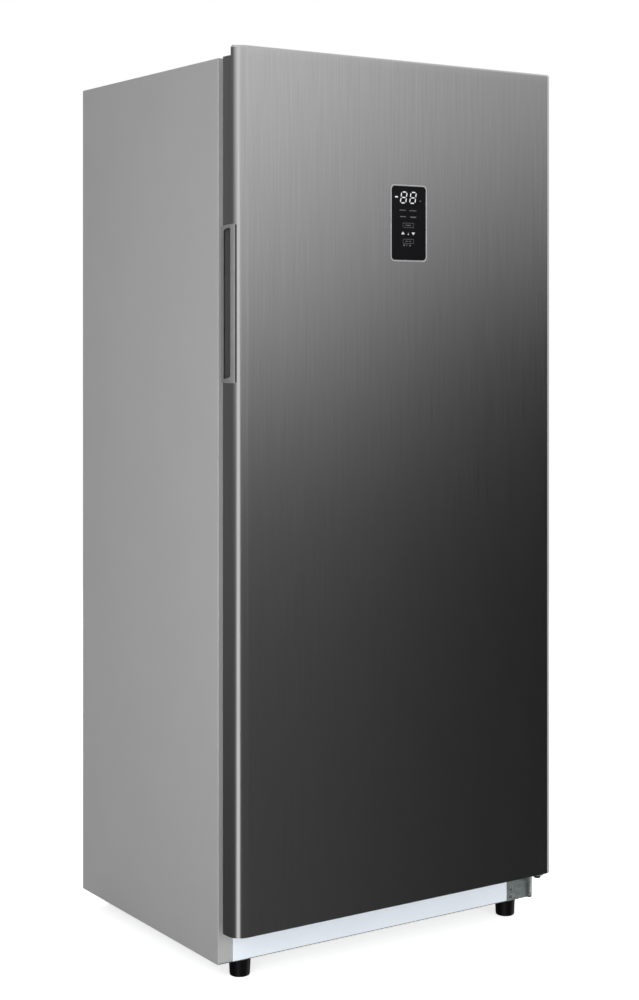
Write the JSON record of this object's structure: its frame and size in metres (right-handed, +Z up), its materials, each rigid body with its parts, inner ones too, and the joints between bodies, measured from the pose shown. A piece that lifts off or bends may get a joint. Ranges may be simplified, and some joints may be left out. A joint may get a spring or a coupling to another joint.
{
  "type": "upright freezer",
  "caption": "Tall free-standing freezer with a full-height brushed steel door, pocket handle and touch display, opening on shelves, a basket and door bins.",
  "frame": {"origin": "on the floor, under the middle of the freezer's box in X and Y", "axes": "+Z up, +Y towards the back, +X to the right as one faces the door, so the door's front looks along -Y and its hinges are on the +X side"},
  "size_m": [0.841, 0.6934, 1.917],
  "materials": {
    "grey_painted_steel": "satin",
    "zinc_coated_steel": "satin",
    "white_painted_steel": "satin",
    "bright_steel": "satin",
    "brushed_stainless_steel": "satin",
    "dark_grey_plastic": "matte",
    "white_moulded_plastic": "satin",
    "insulation_foam": "matte",
    "grey_seal_vinyl": "matte",
    "black_foot_plastic": "satin",
    "black_moulded_plastic": "satin",
    "satin_silver_plastic": "satin",
    "black_panel_glass": "gloss",
    "shelf_glass": "gloss",
    "frosted_clear_plastic": "satin",
    "clear_bin_plastic": "gloss",
    "white_coated_wire": "gloss",
    "circuit_board": "satin",
    "copper_tube": "satin",
    "black_enamelled_steel": "gloss",
    "bare_aluminium": "satin"
  },
  "bodies": {
    "cabinet": {"outer_shell": "grey_painted_steel", "back_panel": "zinc_coated_steel", "base_tray": "zinc_coated_steel", "machine_compartment_shroud": "zinc_coated_steel", "rear_compartment_cover": "grey_painted_steel", "inner_liner": "white_moulded_plastic", "cabinet_insulation": "insulation_foam", "kick_plate": "white_painted_steel", "lower_hinge_bracket": "zinc_coated_steel", "lower_hinge_pin": "bright_steel", "hinge_adjusting_screw": "bright_steel", "bracket_screw_upper": "bright_steel", "bracket_screw_lower": "bright_steel", "underside_screw": "black_foot_plastic", "top_hinge_plate": "zinc_coated_steel", "top_hinge_pin": "bright_steel", "top_hinge_cover": "dark_grey_plastic", "left_roller_axle": "bright_steel", "right_roller_axle": "bright_steel", "compressor": "black_enamelled_steel", "condenser": "copper_tube", "condenser_fan_motor": "black_enamelled_steel", "drain_pan": "dark_grey_plastic", "power_inlet": "black_moulded_plastic", "control_board_box": "white_moulded_plastic", "suction_tube": "copper_tube", "discharge_tube": "copper_tube", "evaporator": "bare_aluminium", "evaporator_cover": "white_moulded_plastic", "evaporator_fan_motor": "black_enamelled_steel", "defrost_heater": "bare_aluminium", "interior_lamp": "frosted_clear_plastic", "shelf_1": "shelf_glass", "shelf_2": "shelf_glass", "shelf_3": "shelf_glass", "shelf_4": "shelf_glass", "storage_basket": "white_coated_wire"},
    "door": {"door_skin": "brushed_stainless_steel", "door_top_cap": "dark_grey_plastic", "door_bottom_cap": "dark_grey_plastic", "door_insulation": "insulation_foam", "door_inner_liner": "white_moulded_plastic", "door_gasket": "grey_seal_vinyl", "handle_bezel": "satin_silver_plastic", "handle_cup": "dark_grey_plastic", "control_panel_frame": "satin_silver_plastic", "control_panel_glass": "black_panel_glass", "display_board": "circuit_board", "upper_hinge_bush": "white_moulded_plastic", "lower_hinge_bush": "white_moulded_plastic", "door_bin_1": "clear_bin_plastic", "door_bin_2": "clear_bin_plastic", "door_bin_3": "clear_bin_plastic", "door_bin_4": "clear_bin_plastic"},
    "left_foot": {"front_left_foot": "black_foot_plastic"},
    "right_foot": {"front_right_foot": "black_foot_plastic"},
    "left_roller": {"rear_left_roller": "dark_grey_plastic"},
    "right_roller": {"rear_right_roller": "dark_grey_plastic"},
    "cooling_fan": {"condenser_fan": "dark_grey_plastic"},
    "freezer_fan": {"evaporator_fan": "dark_grey_plastic"}
  },
  "joints": [
    {"name": "door_hinge", "type": "hinge", "parent": "cabinet", "child": "door", "pos_m": [0.399, -0.318, 0], "axis": [0, 0, 1], "range_deg": [0, 125]},
    {"name": "left_foot_screw", "type": "slide", "parent": "cabinet", "child": "left_foot", "axis": [0, 0, -1], "range_m": [0, 0.015]},
    {"name": "right_foot_screw", "type": "slide", "parent": "cabinet", "child": "right_foot", "axis": [0, 0, -1], "range_m": [0, 0.015]},
    {"name": "left_roller_spin", "type": "hinge", "parent": "cabinet", "child": "left_roller", "pos_m": [-0.354, 0.305, 0.015], "axis": [1, 0, 0], "continuous": true},
    {"name": "right_roller_spin", "type": "hinge", "parent": "cabinet", "child": "right_roller", "pos_m": [0.354, 0.305, 0.015], "axis": [1, 0, 0], "continuous": true},
    {"name": "cooling_fan_spin", "type": "hinge", "parent": "cabinet", "child": "cooling_fan", "pos_m": [0.06, 0.19, 0.165], "axis": [1, 0, 0], "continuous": true},
    {"name": "freezer_fan_spin", "type": "hinge", "parent": "cabinet", "child": "freezer_fan", "pos_m": [0, 0.2595, 0.76], "axis": [0, 1, 0], "continuous": true}
  ]
}
